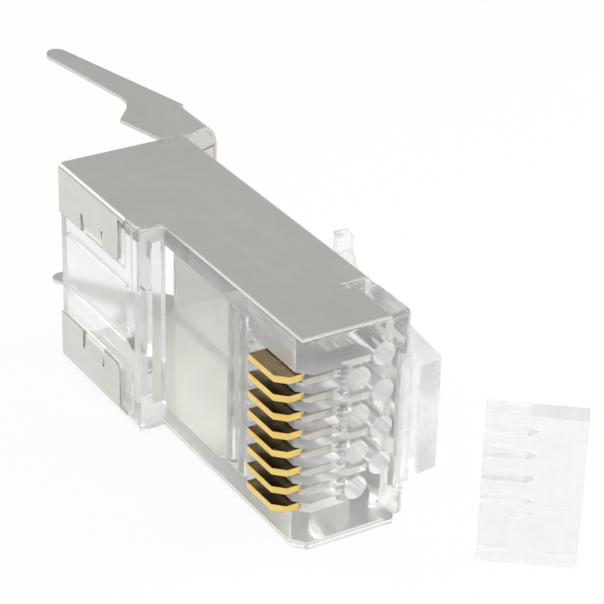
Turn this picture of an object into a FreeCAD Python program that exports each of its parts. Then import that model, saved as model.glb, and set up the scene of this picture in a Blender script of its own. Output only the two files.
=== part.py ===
import FreeCAD, Part
import math
import os
import re

import Sketcher

# Shielded eight-contact modular plug, uncrimped, with its wire guide taken out.
# Millimetres and degrees. X runs from the contact side to the latch side, +Y from the
# mating nose to the cable, Z across the width. The body sketches start at the nose's
# contact-side edge; the finished pieces are moved so that the nose's centre is the origin.

SIZES = (
    # alias, value, what it is
    ("plug_width", 11.68, "width over the shield's side plates"),
    ("nose_depth", 6.15, "nose from the contact side to the latch side"),
    ("body_length", 22.3, "moulded housing, nose to cable end"),
    ("nose_chamfer", 0.6, "bevel of the nose's contact-side edge"),
    ("nose_round", 0.5, "rounding of the nose's latch-side edge"),
    ("lip_length", 0.33, "plastic lip ahead of the lower side plate"),
    ("lip_corner", 1.2, "that lip along its contact-side edge"),
    ("lip_proud", 0.1, "that lip below the lower side plate"),
    ("rebate_reach", 0.7, "rebate in the nose's lower latch-side corner"),
    ("rebate_rise", 0.5, "height of that rebate"),
    ("corner_round", 0.3, "rounding of the nose's upper latch-side corner"),
    ("sheet_thick", 0.2, "shield sheet"),
    ("seat_gap", 0.02, "play between the shield and the plastic"),
    ("shell_length", 22.35, "side plates, nose to cable end"),
    ("shell_front", 4.0, "where the shield's latch-side wall begins"),
    ("plate_reach", 4.9, "side plates' depth beside the nose"),
    ("plate_front", 0.07, "upper side plate behind the nose face"),
    ("relief_front", 3.15, "front of the fold relief in a side plate"),
    ("relief_depth", 4.4, "contact-side end of the fold relief"),
    ("cheek_gap", 0.15, "nose cheeks' rear end ahead of the fold relief"),
    ("plate_inset", 0.1, "side plates' edge below the collar's contact side"),
    ("step_round", 0.2, "corner where the side plates step out beside the collar"),
    ("fold_radius", 0.35, "outside radius of the shield's long folds"),
    ("collar_start", 13.4, "nose to the raised cable collar"),
    ("collar_rise", 1.4, "collar above the contact side"),
    ("collar_wall", 0.95, "collar's contact-side wall"),
    ("collar_lip", 0.9, "thick front wall of the collar"),
    ("rim_length", 0.14, "full-width rim at the collar's front"),
    ("cavity_top", 0.05, "wire cavity's contact side below the nose's"),
    ("groove_at", 14.0, "nose to the groove in the collar's contact side"),
    ("groove_span", 3.5, "that groove across the width"),
    ("groove_aside", 0.25, "that groove off the middle of the width"),
    ("groove_along", 0.9, "that groove along the plug"),
    ("line_width", 0.16, "parting line beside that groove"),
    ("mark_depth", 0.08, "gate marks in the collar's front face"),
    ("keel_aside", 1.6, "ribs inside the collar from the middle"),
    ("keel_thick", 0.18, "ribs inside the collar"),
    ("keel_height", 0.3, "ribs inside the collar"),
    ("back_wall", 0.58, "housing wall behind the latch"),
    ("entry_width", 9.4, "cable cavity across the width"),
    ("cavity_front", 7.5, "front end of the cable cavity"),
    ("comb_length", 5.0, "contact comb from the nose"),
    ("comb_shelf", 0.2, "flat shelf behind the comb"),
    ("contact_pitch", 1.016, "contact spacing"),
    ("slot_width", 0.5, "comb slot"),
    ("slot_depth", 2.35, "comb slot below the contact side"),
    ("slot_flare", 0.35, "widening of a slot's inner end at the nose face"),
    ("blade_thick", 0.35, "contact blade"),
    ("blade_play", 0.01, "blade to its slit, each side"),
    ("blade_proud", 0.94, "uncrimped blade above the contact side"),
    ("blade_front", 0.45, "blade behind the nose face"),
    ("blade_length", 2.88, "blade along the plug"),
    ("blade_bevel", 0.53, "bevel of a blade's front outer corner"),
    ("blade_shoulder", 0.42, "contact side to the step in a blade's front edge"),
    ("blade_set", 0.5, "step back of a blade's front edge inside the comb"),
    ("prong_root", 1.9, "where a blade divides into prongs"),
    ("prong_point", 0.45, "length of a prong's point"),
    ("prong_gap", 0.15, "prong tips above the wire channels"),
    ("wire_bore", 1.25, "wire channel diameter"),
    ("near_row", 3.5, "wire channels nearer the contact side"),
    ("row_gap", 1.35, "between the two rows of wire channels"),
    ("front_wall", 0.95, "nose wall ahead of the wire channels"),
    ("bridge_sink", 0.45, "bridge surface below the contact side"),
    ("rib_radius", 0.4, "rounded ribs on the bridge"),
    ("tab_proud", 0.1, "shield tabs above the collar"),
    ("tab_edge", 3.0, "tab edges from the plug's middle"),
    ("tab_front", 15.6, "nose to the tabs' front edges"),
    ("tab_round", 0.5, "tabs' front corners"),
    ("fold_front", 15.0, "nose to the start of the tab folds"),
    ("lance_front", 17.35, "nose to a locking lance"),
    ("lance_width", 2.1, "locking lance along the plug"),
    ("lance_slot", 0.18, "slot beside a lance"),
    ("lance_length", 1.0, "lance from its free edge"),
    ("lance_dip", 0.14, "lance bent into the collar"),
    ("hinge_depth", 5.95, "latch root from the contact side"),
    ("hinge_setback", 0.5, "latch root from the nose face"),
    ("root_radius", 0.42, "latch root"),
    ("root_play", 0.05, "latch root to its seat"),
    ("root_width", 6.4, "latch root across the width"),
    ("latch_aside", -0.6, "latch off the middle of the width"),
    ("latch_rise", 8.2, "latch's outer corner from the contact side"),
    ("riser_lean", 0.27, "latch's outer corner behind the front of its root"),
    ("flare_rise", 1.1, "height over which the latch narrows above the nose"),
    ("latch_round", 0.3, "rounding of the latch's outer corner"),
    ("latch_width", 6.1, "wide part of the latch"),
    ("shoulder_rise", 9.2, "latch's outside at the locking shoulders"),
    ("shoulder_at", 8.4, "nose to the locking shoulders"),
    ("tongue_width", 3.2, "latch tongue"),
    ("tip_rise", 12.25, "tongue's outside at its tip"),
    ("tip_at", 15.6, "nose to the tongue's tip"),
    ("thumb_width", 4.6, "thumb pad at the tongue's tip"),
    ("thumb_length", 0.8, "thumb pad along the tongue"),
    ("thumb_step", 0.25, "thumb pad above the tongue"),
    ("latch_thick", 1.0, "wide part of the latch"),
    ("tongue_thick", 0.8, "latch tongue"),
    ("recess_width", 7.55, "latch recess in the nose"),
    ("recess_aside", -0.22, "latch recess off the middle of the width"),
    ("recess_floor", 5.75, "latch recess's floor"),
    ("recess_length", 1.05, "latch recess from the nose face"),
    ("clamp_step", 2.35, "clamp base outside the shell"),
    ("neck_length", 0.8, "shield's cable end to the clamp base"),
    ("clamp_proud", 0.01, "clamp wings outside the side plates at the neck"),
    ("clamp_tilt", 24.0, "clamp leans toward the contact side, degrees"),
    ("clamp_fold", 1.5, "outside radius of the clamp's folds at the neck"),
    ("wing_flare", 7.0, "each wing spreads outward, degrees"),
    ("base_length", 2.4, "clamp base along the clamp"),
    ("wing_depth", 3.95, "wide part of a wing"),
    ("wing_length", 3.6, "wide part of a wing along the clamp"),
    ("throat_length", 1.7, "from a wing's wide part to its finger"),
    ("finger_length", 11.4, "clamp base's front edge to a finger's tip"),
    ("finger_root", 1.83, "finger width at its root"),
    ("finger_tip", 1.25, "finger width at its tip"),
    ("guide_width", 4.8, "wire guide across"),
    ("guide_height", 8.2, "wire guide along the row of wires"),
    ("guide_thick", 1.2, "wire guide"),
    ("groove_pitch", 1.28, "wire guide's grooves"),
    ("groove_width", 0.6, "one groove"),
    ("groove_depth", 0.5, "one groove"),
    ("groove_first", 3.55, "lowest groove above the guide's foot"),
    ("groove_reach", 2.55, "groove to its point"),
    ("heel_height", 1.75, "sunken heel below the grooves"),
    ("heel_width", 1.35, "sunken heel across the guide"),
    ("panel_start", 2.64, "sunken lower panel from the grooved side"),
    ("line_start", 3.2, "fine upright lines from the grooved side"),
    ("line_gap", 0.58, "between the fine upright lines"),
    ("line_thick", 0.22, "one fine upright line"),
    ("relief_fine", 0.15, "depth of the guide's panel and lines"),
    ("guide_turn", -38.2, "wire guide turned about the upright, degrees"),
    ("guide_aside", 6.93, "wire guide's near corner from the contact side"),
    ("guide_ahead", 5.0, "wire guide's near corner ahead of the nose"),
    ("guide_lift", 0.22, "wire guide's foot above the plug's lower side"),
)

NAMES = {alias for alias, value, note in SIZES}
CONTACTS = 8
PRONGS = 3
BEYOND = 30.0       # longer than any piece, for cuts that pass right through
PAST = 1.0          # a cut's reach past the face it enters
JOIN = 0.1          # overlap that joins two touching features
doc = FreeCAD.newDocument("ModularPlug")


# --- the document's own helpers ---------------------------------------------------------

def fill_sheet():
    """Writes every driving size into the spreadsheet under its alias."""
    sheet = doc.addObject("Spreadsheet::Sheet", "Sizes")
    for row, (alias, value, note) in enumerate(SIZES, start=1):
        sheet.set(f"A{row}", note)
        sheet.set(f"B{row}", str(value))
        sheet.setAlias(f"B{row}", alias)
    doc.recompute()
    return sheet


def bound(text):
    """Turns bare size names into references to the spreadsheet."""
    return re.sub(r"[a-z_]+", lambda word: f"Sizes.{word[0]}" if word[0] in NAMES else word[0], str(text))


def value(text):
    """A size expression's number now."""
    result = sizes.evalExpression(bound(text))
    return float(getattr(result, "Value", result))


def bind(feature, path, text):
    feature.setExpression(path, bound(text))


def new_body(label):
    body = doc.addObject("PartDesign::Body", label)
    body.Label = label
    bind(body, "Placement.Base.x", "-nose_depth / 2")
    return body


def sketch(body, name, plane, offset="0"):
    """A sketch on the body's XY, XZ or YZ plane, moved along that plane's positive axis."""
    profile = body.newObject("Sketcher::SketchObject", name)
    role = plane + "_Plane"
    support = [item for item in body.Origin.OriginFeatures if item.Role == role][0]
    profile.AttachmentSupport = [(support, "")]
    profile.MapMode = "FlatFace"
    away = f"-({offset})" if plane == "XZ" else offset
    bind(profile, "AttachmentOffset.Base.z", away)
    return profile


def hold(profile, kind, geometry, point, text):
    """Ties one coordinate of a point to a size expression."""
    index = profile.addConstraint(Sketcher.Constraint(kind, -1, 1, geometry, point, value(text)))
    bind(profile, f"Constraints[{index}]", text)


def outline(profile, corners):
    """A closed polygon whose corners are pairs of size expressions."""
    first = profile.GeometryCount
    count = len(corners)
    spots = [FreeCAD.Vector(value(x), value(y), 0) for x, y in corners]
    for start, end in zip(spots, spots[1:] + spots[:1]):
        profile.addGeometry(Part.LineSegment(start, end), False)
    for step in range(count):
        following = first + (step + 1) % count
        profile.addConstraint(Sketcher.Constraint("Coincident", first + step, 2, following, 1))
    for step, (x, y) in enumerate(corners):
        hold(profile, "DistanceX", first + step, 1, x)
        hold(profile, "DistanceY", first + step, 1, y)


def bent_outline(profile, corners):
    """A closed outline; a corner that carries a radius starts a quarter bend to the next one."""
    spots = [FreeCAD.Vector(value(x), value(y), 0) for x, y, radius in corners]
    count = len(corners)
    for step, (x, y, radius) in enumerate(corners):
        start, end = spots[step], spots[(step + 1) % count]
        if radius is None:
            profile.addGeometry(Part.LineSegment(start, end), False)
            continue
        centre = FreeCAD.Vector(min(start.x, end.x), min(start.y, end.y), 0)
        circle = Part.Circle(centre, FreeCAD.Vector(0, 0, 1), value(radius))
        profile.addGeometry(Part.ArcOfCircle(circle, 0, math.pi / 2), False)
    for step, (x, y, radius) in enumerate(corners):
        following = (step + 1) % count
        begin, finish = outline_ends(profile, step, spots)
        next_begin, next_finish = outline_ends(profile, following, spots)
        profile.addConstraint(Sketcher.Constraint("Coincident", step, finish, following, next_begin))
        hold(profile, "DistanceX", step, begin, x)
        hold(profile, "DistanceY", step, begin, y)
        if radius is not None:
            index = profile.addConstraint(Sketcher.Constraint("Radius", step, value(radius)))
            bind(profile, f"Constraints[{index}]", radius)


def outline_ends(profile, index, spots):
    """The first and last end of one part of an outline: a bend always runs anticlockwise."""
    following = spots[(index + 1) % len(spots)]
    piece = profile.Geometry[index]
    forward = (piece.StartPoint - spots[index]).Length < (piece.StartPoint - following).Length
    return (1, 2) if forward else (2, 1)


def lean(profile, place, rotation):
    """Puts a sketch at a point and turn of its plane's own axes."""
    profile.setExpression("AttachmentOffset.Base.z", None)
    spot = FreeCAD.Vector(*[value(part) for part in place])
    profile.AttachmentOffset = FreeCAD.Placement(spot, rotation)
    for axis, part in zip("xyz", place):
        bind(profile, f"AttachmentOffset.Base.{axis}", part)


def rectangle(profile, low_x, high_x, low_y, high_y):
    outline(profile, [(low_x, low_y), (high_x, low_y), (high_x, high_y), (low_x, high_y)])


def disc(profile, x, y, radius):
    centre = FreeCAD.Vector(value(x), value(y), 0)
    index = profile.addGeometry(Part.Circle(centre, FreeCAD.Vector(0, 0, 1), value(radius)), False)
    hold(profile, "DistanceX", index, 3, x)
    hold(profile, "DistanceY", index, 3, y)
    radial = profile.addConstraint(Sketcher.Constraint("Radius", index, value(radius)))
    bind(profile, f"Constraints[{radial}]", radius)


def extrude(body, kind, profile, name, length, toward=0):
    """Pads or pockets a sketch toward + or - of its plane's axis, or both ways when 0."""
    before = body.Tip.Shape.Volume if body.Tip else 0.0
    feature = body.newObject(kind, name)
    feature.Profile = profile
    bind(feature, "Length", length)
    if toward == 0:
        feature.SideType = "Symmetric"
    else:
        natural = -1 if profile.AttachmentSupport[0][0].Role == "XZ_Plane" else 1
        natural = natural if kind == "PartDesign::Pad" else -natural
        feature.Reversed = toward != natural
    doc.recompute()
    change = feature.Shape.Volume - before
    if (change > 0) != (kind == "PartDesign::Pad"):
        raise RuntimeError(f"{body.Label}.{name} changed the volume by {change:.4f}")
    return feature


def pad(body, profile, name, length, toward=0):
    return extrude(body, "PartDesign::Pad", profile, name, length, toward)


def pocket(body, profile, name, length, toward=0):
    return extrude(body, "PartDesign::Pocket", profile, name, length, toward)


def repeat(body, features, name, count, spacing):
    """Repeats features across the plug's width."""
    pattern = body.newObject("PartDesign::LinearPattern", name)
    axis = [item for item in body.Origin.OriginFeatures if item.Role == "Z_Axis"][0]
    pattern.Originals = features
    pattern.Direction = (axis, [""])
    pattern.Occurrences = count
    pattern.Mode = "Spacing"
    bind(pattern, "Offset", spacing)
    body.Tip = pattern
    doc.recompute()
    return pattern


def mirror_across(body, features, name):
    """Copies features to the other half of the plug's width."""
    twin = body.newObject("PartDesign::Mirrored", name)
    plane = [item for item in body.Origin.OriginFeatures if item.Role == "XY_Plane"][0]
    twin.Originals = features
    twin.MirrorPlane = (plane, [""])
    body.Tip = twin
    doc.recompute()
    return twin


def dress(body, kind, name, size, spots):
    """Fillets or chamfers the edges that pass through the given points."""
    base = body.Tip
    edges = []
    for spot in spots:
        point = Part.Vertex(*[value(part) for part in spot])
        ranked = sorted((edge.distToShape(point)[0], number)
                        for number, edge in enumerate(base.Shape.Edges, start=1))
        if ranked[0][0] > 0.01:
            raise RuntimeError(f"{body.Label}.{name} finds no edge at {spot}")
        edges.append(f"Edge{ranked[0][1]}")
    feature = body.newObject(kind, name)
    feature.Base = (base, edges)
    bind(feature, "Radius" if kind.endswith("Fillet") else "Size", size)
    doc.recompute()
    return feature


def round_edges(body, name, size, spots):
    return dress(body, "PartDesign::Fillet", name, size, spots)


# --- housing: one clear moulding -----------------------------------------------------------

def build_housing():
    """The clear moulding: nose with its comb, bridge, window and cable collar."""
    body = new_body("housing")
    mould_outside(body)
    hollow_cable_way(body)
    cut_comb(body)
    cut_wire_channels(body)
    shape_bridge(body)
    cut_latch_seat(body)
    detail_collar(body)
    soften_nose(body)
    return body


def mould_outside(body):
    back = "nose_depth - sheet_thick - seat_gap"
    side = sketch(body, "SideProfile", "XY")
    outline(side, [
        ("0", "0"),
        ("nose_depth", "0"),
        ("nose_depth", "shell_front - seat_gap"),
        (back, "shell_front - seat_gap"),
        (back, "body_length"),
        ("-collar_rise", "body_length"),
        ("-collar_rise", "collar_start"),
        ("0", "collar_start"),
    ])
    flank = "(plug_width / 2 - sheet_thick - seat_gap)"
    pad(body, side, "Core", f"2 * {flank}")
    round_edges(body, "BackCorners", "fold_radius - sheet_thick", [
        (back, "body_length / 2", flank),
        (back, "body_length / 2", f"-{flank}"),
    ])
    cheek = sketch(body, "CheekProfile", "XY")
    rectangle(cheek, "plate_reach + seat_gap", "nose_depth", "0", "relief_front - cheek_gap")
    pad(body, cheek, "Cheeks", "plug_width")
    lip = sketch(body, "LipProfile", "XY")
    outline(lip, [
        ("0", "0"),
        ("nose_depth", "0"),
        ("nose_depth", "lip_length"),
        ("nose_chamfer", "lip_length"),
        ("0", "lip_corner"),
    ])
    pad(body, lip, "Lip", "plug_width / 2 + lip_proud", -1)
    bevel = sketch(body, "BevelProfile", "XY")
    far = f"nose_chamfer + {PAST}"
    outline(bevel, [(f"-{PAST}", f"-{PAST}"), (far, f"-{PAST}"), (f"-{PAST}", far)])
    pocket(body, bevel, "NoseBevel", "2 * plug_width")
    round_edges(body, "FrontRound", "nose_round", [("nose_depth", "0", "0")])
    rim = sketch(body, "RimProfile", "XY")
    rectangle(rim, "-collar_rise", "-rim_length", "collar_start", "collar_start + rim_length")
    pad(body, rim, "CollarRim", "plug_width")


def hollow_cable_way(body):
    back = "nose_depth - sheet_thick - seat_gap - back_wall"
    half = "entry_width / 2"
    entry = sketch(body, "EntryProfile", "XZ", "body_length")
    rectangle(entry, "-(collar_rise - collar_wall)", back, f"-{half}", half)
    pocket(body, entry, "CableEntry", "body_length - collar_start - collar_lip", -1)
    inner = sketch(body, "CavityProfile", "XZ", "collar_start + collar_lip")
    rectangle(inner, "cavity_top", back, f"-{half}", half)
    pocket(body, inner, "WireCavity", "collar_start + collar_lip - cavity_front", -1)
    window = sketch(body, "WindowProfile", "YZ", f"cavity_top + {JOIN}")
    rectangle(window, "cavity_front", "collar_start", f"-{half}", half)
    pocket(body, window, "Window", f"cavity_top + {JOIN + PAST}", -1)


def cut_comb(body):
    """Eight open slots, each with the tight slit that grips its blade."""
    lowest = f"-contact_pitch * {(CONTACTS - 1) / 2}"
    slot = sketch(body, "SlotProfile", "XY", lowest)
    outline(slot, [
        ("-nose_chamfer", "-nose_chamfer"),
        ("slot_depth + 2 * slot_flare", "-nose_chamfer"),
        ("slot_depth", "slot_flare"),
        ("slot_depth", "comb_length"),
        ("-nose_chamfer", "comb_length"),
    ])
    cut = pocket(body, slot, "CombSlot", "slot_width")
    repeat(body, [cut], "Comb", CONTACTS, "contact_pitch")
    for first in (0, 1):
        slit = sketch(body, f"SlitProfile{first + 1}", "XY", f"{lowest} + contact_pitch * {first}")
        rectangle(slit, "slot_depth - blade_play", f"{blade_reach(first)} + blade_play",
                  "blade_front + blade_set - blade_play", "blade_front + blade_length + blade_play")
        cut = pocket(body, slit, f"Slit{first + 1}", "blade_thick + 2 * blade_play")
        repeat(body, [cut], f"Slits{first + 1}", CONTACTS // 2, "2 * contact_pitch")


def row_depth(index):
    """Wire channels alternate between the near and the far row."""
    return "near_row" if index % 2 == 0 else "(near_row + row_gap)"


def blade_reach(index):
    return f"({row_depth(index)} - wire_bore / 2 - prong_gap)"


def cut_wire_channels(body):
    channels = sketch(body, "ChannelProfile", "XZ", "cavity_front")
    for index in range(CONTACTS):
        across = f"contact_pitch * ({index} - {(CONTACTS - 1) / 2})"
        disc(channels, row_depth(index), across, "wire_bore / 2")
    pocket(body, channels, "WireChannels", "cavity_front - front_wall", -1)


def shape_bridge(body):
    """A sunken field with two rounded ribs between the comb and the window."""
    half = "(entry_width / 2 - rib_radius / 2)"
    field = sketch(body, "BridgeProfile", "YZ")
    rectangle(field, "comb_length + comb_shelf", f"cavity_front + {JOIN}", f"-{half}", half)
    pocket(body, field, "BridgeField", "bridge_sink", 1)
    step = "(cavity_front - comb_length - comb_shelf) / 4"
    for number, place in ((1, f"comb_length + comb_shelf + {step}"), (2, f"cavity_front - {step}")):
        rib = sketch(body, f"RibProfile{number}", "XY")
        disc(rib, "bridge_sink", place, "rib_radius")
        pad(body, rib, f"BridgeRib{number}", f"2 * {half}")


def cut_latch_seat(body):
    recess = sketch(body, "LatchRecessProfile", "XY", "recess_aside")
    rectangle(recess, "recess_floor", f"nose_depth + {PAST}", f"-{PAST}", "recess_length")
    pocket(body, recess, "LatchRecess", "recess_width")
    seat = sketch(body, "LatchSeatProfile", "XY", "recess_aside")
    disc(seat, "hinge_depth", "hinge_setback", "root_radius + root_play")
    pocket(body, seat, "LatchSeat", "recess_width")


def detail_collar(body):
    """Lance pockets, front groove, sink marks and the ribs inside the collar wall."""
    for number, sign in ((1, ""), (2, "-")):
        lance = sketch(body, f"LancePocketProfile{number}", "YZ", "-collar_rise")
        rectangle(lance, "lance_front + lance_slot / 2", "lance_front + lance_width + 3 * lance_slot / 2",
                  f"{sign}(tab_edge - lance_slot / 2)", f"{sign}(tab_edge + lance_length)")
        pocket(body, lance, f"LancePocket{number}", "lance_dip + sheet_thick", 1)
        tab = sketch(body, f"TabRecessProfile{number}", "YZ", "-collar_rise")
        rectangle(tab, "fold_front", f"body_length + {PAST}",
                  f"{sign}(tab_edge - lance_slot / 2)", f"{sign}plug_width")
        pocket(body, tab, f"TabRecess{number}", "sheet_thick - tab_proud + seat_gap", 1)
        round_edges(body, f"TabSeatCorner{number}", "fold_radius - sheet_thick", [
            ("-collar_rise + sheet_thick - tab_proud + seat_gap", "tab_front",
             f"{sign}(plug_width / 2 - sheet_thick - seat_gap)"),
        ])
    slot = sketch(body, "CollarGrooveProfile", "YZ", "-collar_rise")
    top = "groove_aside + groove_span / 2"
    low = "groove_aside - groove_span / 2"
    outline(slot, [
        ("groove_at", top),
        ("groove_at + groove_along", f"{top} - groove_along / 4"),
        ("groove_at + groove_along", f"{low} + groove_along / 2"),
        ("groove_at + groove_along / 3", low),
        ("groove_at", low),
    ])
    pocket(body, slot, "CollarGroove", "collar_wall * 0.6", 1)
    line = sketch(body, "PartingLineProfile", "YZ", "-collar_rise")
    middle = "collar_start + collar_lip"
    rectangle(line, f"{middle} - line_width / 2", f"{middle} + line_width / 2", "-plug_width", "plug_width")
    pocket(body, line, "PartingLine", "line_width / 2", 1)
    marks = sketch(body, "GateMarkProfile", "XZ", "collar_start")
    outer, inner = "-collar_rise + mark_depth", "-collar_rise / 2"
    rectangle(marks, outer, inner, "-plug_width / 3", "-plug_width / 5")
    rectangle(marks, outer, inner, "plug_width / 5", "plug_width * 2 / 5")
    pocket(body, marks, "GateMarks", "mark_depth", 1)
    for number, across in ((1, "-keel_aside"), (2, "keel_aside")):
        rib = sketch(body, f"InnerRibProfile{number}", "YZ", f"-(collar_rise - collar_wall) - {JOIN / 2}")
        rectangle(rib, "tab_front", "body_length",
                  f"{across} - keel_thick / 2", f"{across} + keel_thick / 2")
        pad(body, rib, f"InnerRib{number}", "keel_height", 1)


def soften_nose(body):
    half = "plug_width / 2"
    rebate = sketch(body, "RebateProfile", "XZ")
    rectangle(rebate, "nose_depth - rebate_reach", f"nose_depth + {PAST}",
              f"-{half} - {PAST}", f"-{half} + rebate_rise - lip_proud")
    pocket(body, rebate, "CornerRebate", "relief_front", 1)
    round_edges(body, "NoseRound", "corner_round", [("nose_depth", "relief_front / 2", half)])


# --- contact blades ---------------------------------------------------------------------------

def build_contact(index):
    """One gold-plated blade: bevelled outer corner, three piercing prongs inside."""
    body = new_body(f"contact_{index + 1}")
    across = f"contact_pitch * ({index} - {(CONTACTS - 1) / 2})"
    side = sketch(body, "BladeProfile", "XY", across)
    reach = blade_reach(index)
    tooth = f"(blade_length - blade_set) / {PRONGS}"
    corners = [
        ("-blade_proud", "blade_front + blade_length"),
        ("-blade_proud", "blade_front + blade_bevel"),
        ("blade_bevel - blade_proud", "blade_front"),
        ("blade_shoulder", "blade_front"),
        ("blade_shoulder + blade_set / 4", "blade_front + blade_set"),
    ]
    for prong in range(PRONGS):
        near = f"blade_front + blade_set + {tooth} * {prong}"
        corners.append((f"{reach} - prong_point", near if prong == 0 else f"{near} + {tooth} / 8"))
        corners.append((reach, f"{near} + {tooth} / 2"))
        far = f"{near} + {tooth}" if prong == PRONGS - 1 else f"{near} + {tooth} * 7 / 8"
        corners.append((f"{reach} - prong_point", far))
        if prong < PRONGS - 1:
            corners.append(("prong_root", f"{near} + {tooth}"))
    outline(side, corners)
    pad(body, side, "Blade", "blade_thick")
    return body


# --- latch -------------------------------------------------------------------------------------

def build_latch():
    """The springing latch: round root, riser, wide locking part and tongue."""
    body = new_body("latch")
    bind(body, "Placement.Base.z", "latch_aside")
    side = sketch(body, "LatchProfile", "XY")
    outline(side, [
        ("hinge_depth", "hinge_setback - root_radius"),
        ("latch_rise", "hinge_setback - root_radius + riser_lean"),
        ("shoulder_rise", "shoulder_at"),
        ("tip_rise - thumb_step", "tip_at - thumb_length - thumb_step"),
        ("tip_rise", "tip_at - thumb_length"),
        ("tip_rise", "tip_at"),
        ("tip_rise - tongue_thick", "tip_at"),
        ("shoulder_rise - latch_thick", "shoulder_at"),
        ("latch_rise - latch_thick", "hinge_setback + 2 * root_radius"),
        ("hinge_depth + root_radius", "hinge_setback + root_radius"),
        ("hinge_depth", "hinge_setback + root_radius"),
    ])
    pad(body, side, "Arm", "root_width")
    root = sketch(body, "RootProfile", "XY")
    disc(root, "hinge_depth", "hinge_setback", "root_radius")
    pad(body, root, "Root", "root_width")
    flank = sketch(body, "FlankProfile", "XZ")
    outline(flank, [
        ("nose_depth + seat_gap", "root_width / 2"),
        ("nose_depth + flare_rise", "latch_width / 2"),
        (f"tip_rise + {PAST}", "latch_width / 2"),
        (f"tip_rise + {PAST}", "root_width"),
        ("nose_depth + seat_gap", "root_width"),
    ])
    cut = pocket(body, flank, "Flank", f"{BEYOND} * 2")
    sides = sketch(body, "TongueProfile", "YZ")
    outline(sides, [
        ("shoulder_at", "tongue_width / 2"),
        ("tip_at - thumb_length - thumb_step", "tongue_width / 2"),
        ("tip_at - thumb_length", "thumb_width / 2"),
        (f"{BEYOND}", "thumb_width / 2"),
        (f"{BEYOND}", "root_width"),
        ("shoulder_at", "root_width"),
    ])
    trim = pocket(body, sides, "TongueSide", f"{BEYOND} * 2")
    mirror_across(body, [cut, trim], "OtherSide")
    corner = "hinge_setback - root_radius + riser_lean"
    round_edges(body, "OuterBend", "latch_round", [("latch_rise", corner, "0")])
    round_edges(body, "InnerBend", "latch_thick * 0.8",
                [("latch_rise - latch_thick", "hinge_setback + 2 * root_radius", "0")])
    return body


# --- shield: one folded sheet with its cable clamp ---------------------------------------------

def build_shield():
    """The sheet-metal shell: side plates, latch-side wall, lanced tabs and cable clamp."""
    body = new_body("shield_shell")
    fold_shell(body)
    trim_shell(body)
    set_back_plates(body)
    lance_tabs(body)
    build_clamp(body)
    return body


def fold_shell(body):
    outer = "(plug_width / 2)"
    inner = "(plug_width / 2 - sheet_thick)"
    tab = "-(collar_rise + tab_proud)"
    section = sketch(body, "ShellSection", "XZ")
    outline(section, [
        (tab, "tab_edge"),
        (tab, outer),
        ("nose_depth", outer),
        ("nose_depth", f"-{outer}"),
        (tab, f"-{outer}"),
        (tab, "-tab_edge"),
        (f"{tab} + sheet_thick", "-tab_edge"),
        (f"{tab} + sheet_thick", f"-{inner}"),
        ("nose_depth - sheet_thick", f"-{inner}"),
        ("nose_depth - sheet_thick", inner),
        (f"{tab} + sheet_thick", inner),
        (f"{tab} + sheet_thick", "tab_edge"),
    ])
    pad(body, section, "Shell", "shell_length", 1)
    middle = "shell_length / 2"
    round_edges(body, "OuterFolds", "fold_radius", [
        (tab, middle, outer), ("nose_depth", middle, outer),
        ("nose_depth", middle, f"-{outer}"), (tab, middle, f"-{outer}"),
    ])
    round_edges(body, "InnerFolds", "fold_radius - sheet_thick", [
        (f"{tab} + sheet_thick", middle, inner), ("nose_depth - sheet_thick", middle, inner),
        ("nose_depth - sheet_thick", middle, f"-{inner}"), (f"{tab} + sheet_thick", middle, f"-{inner}"),
    ])


def trim_shell(body):
    contact_side = sketch(body, "ContactSideTrim", "XY")
    step_at = "collar_start + rim_length + seat_gap"
    step_top = "-(collar_rise - plate_inset)"
    outline(contact_side, [
        (f"-{BEYOND}", f"-{PAST}"),
        ("0", f"-{PAST}"),
        ("0", "collar_start - step_round"),
        ("-plate_inset", step_at),
        (f"{step_top} + 2 * step_round", step_at),
        (f"{step_top} + step_round / 2", f"{step_at} + step_round / 2"),
        (step_top, f"{step_at} + 2 * step_round"),
        (step_top, "fold_front"),
        (f"-{BEYOND}", "fold_front"),
    ])
    pocket(body, contact_side, "ContactSide", "2 * plug_width")
    latch_side = sketch(body, "LatchSideTrim", "XY")
    outline(latch_side, [
        ("plate_reach", f"-{PAST}"),
        (f"{BEYOND}", f"-{PAST}"),
        (f"{BEYOND}", "shell_front"),
        ("relief_depth", "shell_front"),
        ("relief_depth", "relief_front"),
        ("plate_reach", "relief_front"),
    ])
    pocket(body, latch_side, "LatchSide", "2 * plug_width")
    for number, sign in ((1, ""), (2, "-")):
        edge = sketch(body, f"TabFrontTrim{number}", "YZ", f"-(collar_rise + tab_proud) - {JOIN}")
        rectangle(edge, f"fold_front - {PAST}", "tab_front",
                  f"{sign}(tab_edge - {PAST})", f"{sign}(plug_width / 2 - fold_radius)")
        pocket(body, edge, f"TabFront{number}", f"sheet_thick + {1.5 * JOIN}", 1)
        round_edges(body, f"TabCorner{number}", "tab_round", [
            ("-(collar_rise + tab_proud) + sheet_thick / 2", "tab_front", f"{sign}tab_edge"),
        ])


def set_back_plates(body):
    """Both side plates end just behind the nose face; the lower one clears the plastic lip."""
    upper = sketch(body, "PlateFrontTrim", "XY")
    rectangle(upper, f"-{BEYOND}", f"{BEYOND}", f"-{PAST}", "plate_front")
    pocket(body, upper, "PlateFront", "2 * plug_width")
    lower = sketch(body, "LowerPlateFrontTrim", "XY")
    outline(lower, [
        (f"-{BEYOND}", f"-{PAST}"),
        (f"{BEYOND}", f"-{PAST}"),
        (f"{BEYOND}", "lip_length + seat_gap"),
        ("nose_chamfer", "lip_length + seat_gap"),
        ("0", "lip_corner + 2 * seat_gap"),
        (f"-{BEYOND}", "lip_corner + 2 * seat_gap"),
    ])
    pocket(body, lower, "LowerPlateFront", "plug_width", -1)


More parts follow.
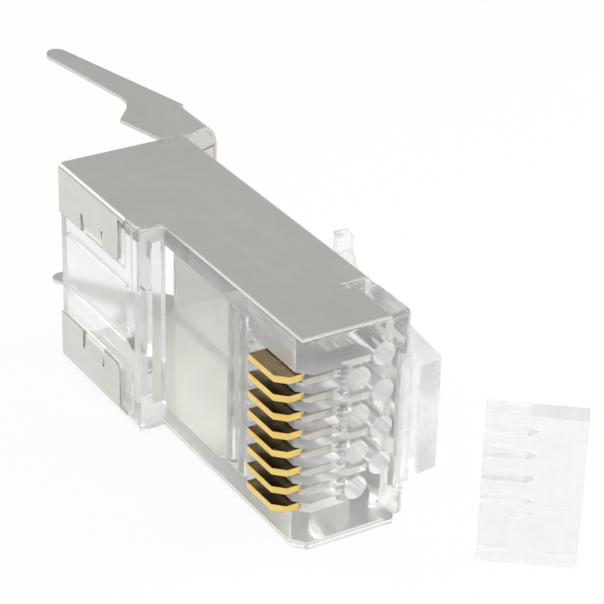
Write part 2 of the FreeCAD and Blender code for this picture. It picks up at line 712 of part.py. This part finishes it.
def lance_tabs(body):
    """Each tab has two slots; the strip between them is bent down into the collar."""
    face = "-(collar_rise + tab_proud)"
    for number, sign in ((1, ""), (2, "-")):
        gap = sketch(body, f"LanceGapProfile{number}", "YZ", f"{face} - {JOIN}")
        rectangle(gap, "lance_front", "lance_front + lance_width + 2 * lance_slot",
                  f"{sign}(tab_edge - {JOIN})", f"{sign}(tab_edge + lance_length)")
        pocket(body, gap, f"LanceGap{number}", f"sheet_thick + {1.5 * JOIN}", 1)
        lip = sketch(body, f"LanceProfile{number}", "XZ", "lance_front + lance_slot")
        root = f"{sign}(tab_edge + lance_length)"
        free = f"{sign}tab_edge"
        outline(lip, [
            (face, f"{root} + {sign}{JOIN / 2}"),
            (face, root),
            (f"{face} + lance_dip", free),
            (f"{face} + lance_dip + sheet_thick", free),
            (f"{face} + sheet_thick", root),
            (f"{face} + sheet_thick", f"{root} + {sign}{JOIN / 2}"),
        ])
        pad(body, lip, f"Lance{number}", "lance_width", 1)


def build_clamp(body):
    """A stepped neck, then a tilted base folded into two flaring wings that later wrap the cable."""
    outside = "nose_depth + clamp_step"
    base_at = "(shell_length + neck_length)"
    neck = sketch(body, "NeckProfile", "XY")
    outline(neck, [
        ("nose_depth - sheet_thick", f"shell_length - {JOIN}"),
        ("nose_depth", f"shell_length - {JOIN}"),
        ("nose_depth", "shell_length"),
        (outside, base_at),
        (f"{outside} - sheet_thick", f"{base_at} + sheet_thick / 2"),
        ("nose_depth - sheet_thick", "shell_length + sheet_thick / 2"),
    ])
    pad(body, neck, "Neck", "plug_width + 2 * (clamp_proud - clamp_fold)")
    fold = body.newObject("PartDesign::AdditiveLoft", "ClampFold")
    fold.Profile = clamp_section(body, "FoldStart", "0", "clamp_fold")
    fold.Sections = [(clamp_section(body, "FoldEnd", "base_length", "fold_radius"), "")]
    fold.Ruled = True
    doc.recompute()
    wing = sketch(body, "WingProfile", "XY")
    meets = f"(neck_length + {JOIN})"
    straight = "finger_length - finger_tip / 2"
    outline(wing, [
        ("-clamp_fold", "0"),
        ("-clamp_fold", f"base_length - {JOIN}"),
        ("0", f"base_length - {JOIN}"),
        ("0", straight),
        ("-finger_tip", straight),
        ("-finger_root", "wing_length + throat_length"),
        ("-finger_root - throat_length / 7", "wing_length + throat_length * 5 / 8"),
        ("-finger_root - throat_length / 2", "wing_length + throat_length / 3"),
        ("-wing_depth", "wing_length"),
        ("-wing_depth", f"(wing_depth * sin(clamp_tilt * 1 deg) - {meets}) / cos(clamp_tilt * 1 deg)"),
        (f"-{meets} / sin(clamp_tilt * 1 deg)", "0"),
    ])
    tip = sketch(body, "FingerTipProfile", "XY")
    disc(tip, "-finger_tip / 2", straight, "finger_tip / 2")
    swing = FreeCAD.Rotation(value("clamp_tilt"), 0, value("wing_flare"))
    plates = [fold]
    for profile, name in ((wing, "Wing"), (tip, "FingerTip")):
        lean(profile, (outside, base_at, "plug_width / 2 + clamp_proud"), swing)
        plates.append(pad(body, profile, name, "sheet_thick", -1))
    mirror_across(body, plates, "OtherWing")


def clamp_section(body, name, along, radius):
    """Half of the clamp's U across the width, at a distance along the tilted base."""
    profile = sketch(body, name, "XZ")
    tilt = "clamp_tilt * 1 deg"
    out = f"nose_depth + clamp_step - {along} * sin({tilt})"
    place = (out, "0", f"-(shell_length + neck_length) - {along} * cos({tilt})")
    lean(profile, place, FreeCAD.Rotation(FreeCAD.Vector(0, 1, 0), value("clamp_tilt")))
    wide = f"(plug_width / 2 + clamp_proud + {along} * tan(wing_flare * 1 deg))"
    side = f"({wide} - sheet_thick / cos(wing_flare * 1 deg))"
    reach = "-(clamp_fold + sheet_thick)"
    bent_outline(profile, [
        ("0", "0", None),
        ("0", f"{wide} - {radius}", radius),
        (f"-{radius}", wide, None),
        (reach, wide, None),
        (reach, side, None),
        (f"-{radius}", side, f"{radius} - sheet_thick"),
        ("-sheet_thick", f"{wide} - {radius}", None),
        ("-sheet_thick", "0", None),
    ])
    return profile


# --- wire guide ---------------------------------------------------------------------------------

def build_wire_guide():
    """The clear guide that lines the wires up; it stands beside the plug, taken out."""
    body = new_body("wire_guide")
    face = sketch(body, "GuideProfile", "XZ")
    rectangle(face, "0", "guide_width", "0", "guide_height")
    pad(body, face, "Plate", "guide_thick", 1)
    groove = sketch(body, "GrooveProfile", "XZ")
    point = "groove_width * 0.9"
    outline(groove, [
        (f"-{PAST}", "groove_first - groove_width / 2"),
        (f"groove_reach - {point}", "groove_first - groove_width / 2"),
        ("groove_reach", "groove_first"),
        (f"groove_reach - {point}", "groove_first + groove_width / 2"),
        (f"-{PAST}", "groove_first + groove_width / 2"),
    ])
    cut = pocket(body, groove, "Groove", "groove_depth", 1)
    repeat(body, [cut], "Grooves", 4, "groove_pitch")
    heel = sketch(body, "HeelProfile", "XZ")
    below = "groove_first - groove_width"
    outline(heel, [
        (f"-{PAST}", "groove_width"),
        ("heel_width", "groove_width"),
        ("heel_width", "groove_width + heel_height"),
        ("2 * heel_width", below),
        (f"-{PAST}", below),
    ])
    pocket(body, heel, "Heel", "groove_depth * 0.7", 1)
    panel = sketch(body, "PanelProfile", "XZ")
    rectangle(panel, "panel_start", f"guide_width + {PAST}", "groove_width", below)
    pocket(body, panel, "Panel", "relief_fine", 1)
    lines = sketch(body, "LineProfile", "XZ")
    for start in ("line_start", "line_start + line_gap"):
        rectangle(lines, start, f"{start} + line_thick",
                  "groove_first - line_thick", "guide_height - groove_width")
    pocket(body, lines, "Lines", "relief_fine", 1)
    body.Placement.Rotation = FreeCAD.Rotation(FreeCAD.Vector(0, 0, 1), value("guide_turn"))
    bind(body, "Placement.Base.x", "guide_aside - nose_depth / 2")
    bind(body, "Placement.Base.y", "-guide_ahead")
    bind(body, "Placement.Base.z", "guide_lift - plug_width / 2")
    return body


# --- checks and files ---------------------------------------------------------------------------

def write_pieces(pieces):
    """Writes one STEP file for each piece once every feature has recomputed cleanly."""
    doc.recompute()
    for item in doc.Objects:
        if "Invalid" in item.State or "Error" in item.State:
            raise RuntimeError(f"{item.Label} did not recompute: {item.State}")
    for piece in pieces:
        if piece.Shape.isNull() or not piece.Shape.isValid():
            raise RuntimeError(f"{piece.Label} has no valid shape")
        if len(piece.Shape.Solids) != 1:
            raise RuntimeError(f"{piece.Label} has {len(piece.Shape.Solids)} solids")
    os.makedirs("parts", exist_ok=True)
    for piece in pieces:
        piece.Shape.exportStep(f"parts/{piece.Label}.step")


sizes = fill_sheet()
pieces = [build_housing(), build_latch(), build_shield(), build_wire_guide()]
pieces += [build_contact(index) for index in range(CONTACTS)]
write_pieces(pieces)
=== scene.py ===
"""Shielded modular plug: clear housing, gold blades, nickel shell, on a white table."""

import math

import bpy
from mathutils import Matrix, Vector


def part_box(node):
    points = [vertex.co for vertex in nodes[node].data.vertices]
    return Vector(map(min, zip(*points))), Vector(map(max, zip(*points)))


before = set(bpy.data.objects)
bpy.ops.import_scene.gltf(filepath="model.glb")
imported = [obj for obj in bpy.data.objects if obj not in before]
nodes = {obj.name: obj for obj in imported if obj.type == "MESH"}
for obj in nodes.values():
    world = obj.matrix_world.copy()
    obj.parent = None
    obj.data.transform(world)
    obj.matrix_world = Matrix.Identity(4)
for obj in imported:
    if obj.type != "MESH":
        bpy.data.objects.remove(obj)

MM = 0.001

# the plug's own sizes that a finish follows
PLUG_WIDTH = 11.68 * MM
NOSE_DEPTH = 6.15 * MM
SHEET = 0.2 * MM
PLATED_TO = 0.3 * MM  # the blades' gold ends this far below the contact side
BLADES = [f"contact_{number}" for number in range(1, 9)]

# clear polycarbonate
CLEAR_IOR = 1.585
HAZE_SPREAD = 2.2
MILK_LEAST = 0.7
MILK_MOST = 1.3
MILK_DEPTH = 0.92
CLEAR_PASS = (0.98, 0.983, 0.98, 1)

INNER_DULLNESS = 0.25  # extra roughness on the sheet's inner side

# table, light and camera
TABLE_SIZE = 3.0
TABLE_TONE = (0.82, 0.82, 0.82, 1)
TABLE_GLOW = 0.9
TABLE_GAP = 0.02 * MM
WHITE = (1, 1, 1, 1)
PLAIN_LEVEL = 0.58
LOOK_AZIMUTH = -31.85
LOOK_HEIGHT = 28.51
LOOK_ROLL = 1.55
LENS = 145.77
CAMERA_AT = Vector((-54.665, -82.86, 60.84)) * MM

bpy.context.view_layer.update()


# --- node material helpers --------------------------------------------------------------

def new_material(name):
    material = bpy.data.materials.new(name)
    material.use_nodes = True
    material.node_tree.nodes.clear()
    output = material.node_tree.nodes.new("ShaderNodeOutputMaterial")
    return material, output


def add(material, kind, **values):
    """Adds a node; a name that is a socket's, with underscores for spaces, sets the socket."""
    node = material.node_tree.nodes.new("ShaderNode" + kind)
    for name, value in values.items():
        socket = name.replace("_", " ")
        if socket in node.inputs:
            node.inputs[socket].default_value = value
        else:
            setattr(node, name, value)
    return node


def link(material, source, target):
    material.node_tree.links.new(source, target)


def object_noise(material, scale, stretch=(1, 1, 1), detail=4.0, roughness=0.55):
    """Noise in the piece's own metres, stretched along its axes."""
    place = add(material, "TexCoord")
    mapping = add(material, "Mapping")
    mapping.inputs["Scale"].default_value = stretch
    noise = add(material, "TexNoise", Scale=scale, Detail=detail, Roughness=roughness)
    link(material, place.outputs["Object"], mapping.inputs["Vector"])
    link(material, mapping.outputs["Vector"], noise.inputs["Vector"])
    return noise.outputs["Fac"]


def ramp(material, factor, low, high, start=0.3, stop=0.7):
    """Turns a 0-1 factor into a colour or grey between low and high."""
    colours = add(material, "ValToRGB")
    colours.color_ramp.elements[0].position = start
    colours.color_ramp.elements[1].position = stop
    for element, tone in zip(colours.color_ramp.elements, (low, high)):
        element.color = tone if isinstance(tone, tuple) else (tone, tone, tone, 1)
    link(material, factor, colours.inputs["Fac"])
    return colours.outputs["Color"]


def bumped(material, height, strength, distance):
    bump = add(material, "Bump", Strength=strength, Distance=distance)
    link(material, height, bump.inputs["Height"])
    return bump.outputs["Normal"]


def maths(material, operation, first, second=None):
    """One step of arithmetic on sockets or plain numbers."""
    step = add(material, "Math", operation=operation)
    for slot, value in enumerate((first, second)):
        if isinstance(value, (int, float)):
            step.inputs[slot].default_value = value
        elif value is not None:
            link(material, value, step.inputs[slot])
    return step.outputs["Value"]


def split(material, coordinates):
    """The x, y and z of a point or a normal in the piece's own frame."""
    place = add(material, "TexCoord")
    parts = add(material, "SeparateXYZ")
    link(material, place.outputs[coordinates], parts.inputs["Vector"])
    return parts.outputs


def either_colour(material, factor, low, high):
    """The low colour where the factor is 0, the high one where it is 1."""
    mix = add(material, "Mix", data_type="RGBA")
    link(material, factor, mix.inputs["Factor"])
    link(material, low, mix.inputs[6])
    link(material, high, mix.inputs[7])
    return mix.outputs[2]


def either_shader(material, factor, low, high):
    """The low shader where the factor is 0, the high one where it is 1."""
    mix = add(material, "MixShader")
    link(material, factor, mix.inputs["Fac"])
    link(material, low, mix.inputs[1])
    link(material, high, mix.inputs[2])
    return mix.outputs["Shader"]


def either_ray(tree, names):
    """1 for any of the named kinds of ray, else 0."""
    path = tree.nodes.new("ShaderNodeLightPath")
    factor = path.outputs[names[0]]
    for name in names[1:]:
        either = tree.nodes.new("ShaderNodeMath")
        either.operation = "MAXIMUM"
        tree.links.new(factor, either.inputs[0])
        tree.links.new(path.outputs[name], either.inputs[1])
        factor = either.outputs["Value"]
    return factor


# --- finishes ---------------------------------------------------------------------------

def clear_plastic(name, tint, haze, milk):
    """Moulded clear polycarbonate: faint flow ripple, soft haze and a trace of milkiness."""
    material, output = new_material(name)
    clear = add(material, "BsdfPrincipled", IOR=CLEAR_IOR, Transmission_Weight=1.0)
    clear.inputs["Base Color"].default_value = tint
    flow = object_noise(material, 420, (1, 0.35, 1), 3)
    link(material, ramp(material, flow, haze, haze * HAZE_SPREAD), clear.inputs["Roughness"])
    link(material, bumped(material, flow, 0.05, 0.02 * MM), clear.inputs["Normal"])
    body = add(material, "BsdfPrincipled", Roughness=0.35)
    body_tone = tuple(MILK_DEPTH * channel for channel in tint[:3]) + (1,)
    body.inputs["Base Color"].default_value = body_tone
    clouds = object_noise(material, 300, detail=2)
    milky = ramp(material, clouds, milk * MILK_LEAST, milk * MILK_MOST)
    plastic = either_shader(material, milky, clear.outputs["BSDF"], body.outputs["BSDF"])
    # light reaches what lies behind and inside the plastic
    through = add(material, "BsdfTransparent", Color=CLEAR_PASS)
    lets_light_in = either_ray(material.node_tree, ("Is Shadow Ray", "Is Diffuse Ray"))
    surface = either_shader(material, lets_light_in, plastic, through.outputs["BSDF"])
    link(material, surface, output.inputs["Surface"])
    return material


def inside_the_shield(material):
    """1 on the sheet's inner side, which faces the housing; 0 on its outer side."""
    point = split(material, "Object")
    tabs_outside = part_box("shield_shell")[0][0]
    aside = maths(material, "ABSOLUTE", point["Z"])
    between = maths(material, "LESS_THAN", aside, (PLUG_WIDTH - SHEET) / 2)
    below = maths(material, "LESS_THAN", point["X"], (NOSE_DEPTH - SHEET) / 2)
    above = maths(material, "GREATER_THAN", point["X"], tabs_outside + SHEET / 2)
    return maths(material, "MULTIPLY", maths(material, "MULTIPLY", between, below), above)


def nickel_sheet():
    """Satin nickel over rolled sheet: grain along the plug, mottling, and a duller inner side whose
    lighter base colour is painted light.
    """
    material, output = new_material("satin_nickel")
    shader = add(material, "BsdfPrincipled", Metallic=1.0)
    mottle = object_noise(material, 260, (1, 1, 1), 5)
    grain = object_noise(material, 2600, (1, 0.05, 1), 2)
    inner = inside_the_shield(material)
    outer_tone = ramp(material, mottle, (0.67, 0.655, 0.62, 1), (0.725, 0.71, 0.675, 1))
    # painted light: the inner side's base colour is made lighter so the inside of the shell looks
    # brightly lit
    inner_painted_light = ramp(material, mottle, (0.89, 0.87, 0.83, 1), (0.94, 0.92, 0.885, 1))
    tone = either_colour(material, inner, outer_tone, inner_painted_light)
    link(material, tone, shader.inputs["Base Color"])
    polish = ramp(material, grain, 0.30, 0.42)
    dulled = maths(material, "MULTIPLY", inner, INNER_DULLNESS)
    link(material, maths(material, "ADD", polish, dulled), shader.inputs["Roughness"])
    link(material, bumped(material, grain, 0.12, 0.01 * MM), shader.inputs["Normal"])
    link(material, shader.outputs["BSDF"], output.inputs["Surface"])
    return material


def gold_plate():
    """Gold on the blades' edges above the comb, bare metal below, and flats painted dark brown as
    painted shade and painted reflection between the blades.
    """
    material, output = new_material("gold_plate")
    shader = add(material, "BsdfPrincipled", Metallic=1.0)
    drift = object_noise(material, 900, (1, 1, 1), 4)
    plated = ramp(material, drift, (0.80, 0.55, 0.14, 1), (0.93, 0.69, 0.25, 1))
    bare = ramp(material, drift, (0.58, 0.55, 0.49, 1), (0.68, 0.65, 0.59, 1))
    # painted shade and painted reflection: the flat faces get a dark brown base colour for the
    # shade and dark reflections between the blades
    painted_shade_tone = ramp(material, drift, (0.20, 0.14, 0.07, 1), (0.34, 0.25, 0.13, 1))
    depth = split(material, "Object")["X"]
    sunk = maths(material, "GREATER_THAN", depth, PLATED_TO - NOSE_DEPTH / 2)
    edges = either_colour(material, sunk, plated, bare)
    # faces whose normal points along the plug's width take the painted dark tone
    flats = maths(material, "ABSOLUTE", split(material, "Normal")["Z"])
    link(material, either_colour(material, flats, edges, painted_shade_tone), shader.inputs["Base Color"])
    link(material, ramp(material, drift, 0.16, 0.30), shader.inputs["Roughness"])
    link(material, bumped(material, drift, 0.06, 0.01 * MM), shader.inputs["Normal"])
    link(material, shader.outputs["BSDF"], output.inputs["Surface"])
    return material


def dress(names, material):
    for name in names:
        nodes[name].data.materials.clear()
        nodes[name].data.materials.append(material)


# --- table, backdrop, lights and camera -------------------------------------------------

def table_slope():
    """The table's height and slope under the nose and the lower wing's tip."""
    nose_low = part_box("housing")[0]
    wing_low, wing_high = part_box("shield_shell")
    rise = (nose_low[2] - wing_low[2]) / wing_high[1]
    return nose_low[2] - TABLE_GAP, rise


def white_table():
    """A white table that stays white behind the plug and keeps its soft shadow."""
    height, rise = table_slope()
    bpy.ops.object.select_all(action="DESELECT")
    bpy.ops.mesh.primitive_plane_add(
        size=TABLE_SIZE, location=(0, 0, height), rotation=(-math.atan(rise), 0, 0))
    table = bpy.context.object
    table.name = "table"
    material, output = new_material("white_table")
    shade = add(material, "BsdfDiffuse", Color=TABLE_TONE)
    glow = add(material, "Emission", Strength=1.0)
    seen = either_ray(material.node_tree, ("Is Camera Ray", "Is Glossy Ray", "Is Transmission Ray"))
    share = maths(material, "MULTIPLY", seen, TABLE_GLOW)
    lit = either_shader(material, share, shade.outputs["BSDF"], glow.outputs["Emission"])
    link(material, lit, output.inputs["Surface"])
    table.data.materials.append(material)


def white_world():
    """Soft even light at a plain level; white where it is seen directly."""
    world = bpy.data.worlds.new("soft_white")
    world.use_nodes = True
    tree = world.node_tree
    plain = tree.nodes["Background"]
    plain.inputs["Color"].default_value = WHITE
    plain.inputs["Strength"].default_value = PLAIN_LEVEL
    white = tree.nodes.new("ShaderNodeBackground")
    white.inputs["Color"].default_value = WHITE
    white.inputs["Strength"].default_value = 1.0
    seen = either_ray(tree, ("Is Camera Ray", "Is Transmission Ray"))
    mix = tree.nodes.new("ShaderNodeMixShader")
    tree.links.new(seen, mix.inputs["Fac"])
    tree.links.new(plain.outputs["Background"], mix.inputs[1])
    tree.links.new(white.outputs["Background"], mix.inputs[2])
    tree.links.new(mix.outputs["Shader"], tree.nodes["World Output"].inputs["Surface"])
    bpy.context.scene.world = world


def soft_light(name, at, toward, size, power):
    """A round lamp, with its place, aim and size in mm and its power in watts."""
    lamp = bpy.data.lights.new(name, "AREA")
    lamp.shape = "DISK"
    lamp.size = size * MM
    lamp.energy = power
    holder = bpy.data.objects.new(name, lamp)
    holder.location = Vector(at) * MM
    aim = (Vector(toward) - Vector(at)).to_track_quat("-Z", "Y")
    holder.rotation_euler = aim.to_euler()
    bpy.context.scene.collection.objects.link(holder)


def place_camera():
    data = bpy.data.cameras.new("camera")
    data.lens = LENS
    data.clip_start = 0.01
    camera = bpy.data.objects.new("camera", data)
    bpy.context.scene.collection.objects.link(camera)
    turn, tip = math.radians(LOOK_AZIMUTH), math.radians(LOOK_HEIGHT)
    reach = math.cos(tip)
    back = Vector((math.sin(turn) * reach, -math.cos(turn) * reach, math.sin(tip)))
    right = (-back).cross(Vector((0, 0, 1))).normalized()
    up = right.cross(-back)
    roll = math.radians(LOOK_ROLL)
    side = right * math.cos(roll) + up * math.sin(roll)
    top = up * math.cos(roll) - right * math.sin(roll)
    facing = Matrix((side, top, back)).transposed().to_4x4()
    camera.matrix_world = Matrix.Translation(CAMERA_AT) @ facing
    bpy.context.scene.camera = camera


# --- the dressed plug -------------------------------------------------------------------

dress(["housing"], clear_plastic("clear_housing", (0.975, 0.978, 0.965, 1), 0.05, 0.16))
dress(["latch"], clear_plastic("clear_latch", (0.97, 0.973, 0.96, 1), 0.10, 0.26))
dress(["wire_guide"], clear_plastic("clear_guide", (0.90, 0.905, 0.90, 1), 0.12, 0.36))
dress(["shield_shell"], nickel_sheet())
dress(BLADES, gold_plate())
white_table()
white_world()
soft_light("key_light", (-120, -160, 240), (0, 8, 0), 160, 0.56)
soft_light("fill_light", (190, -60, 150), (0, 8, 0), 160, 0.25)
soft_light("fold_light", (-119, 206, 116), (0, 14, 0), 70, 0.06)
place_camera()

view = bpy.context.scene.view_settings
view.view_transform = "Standard"
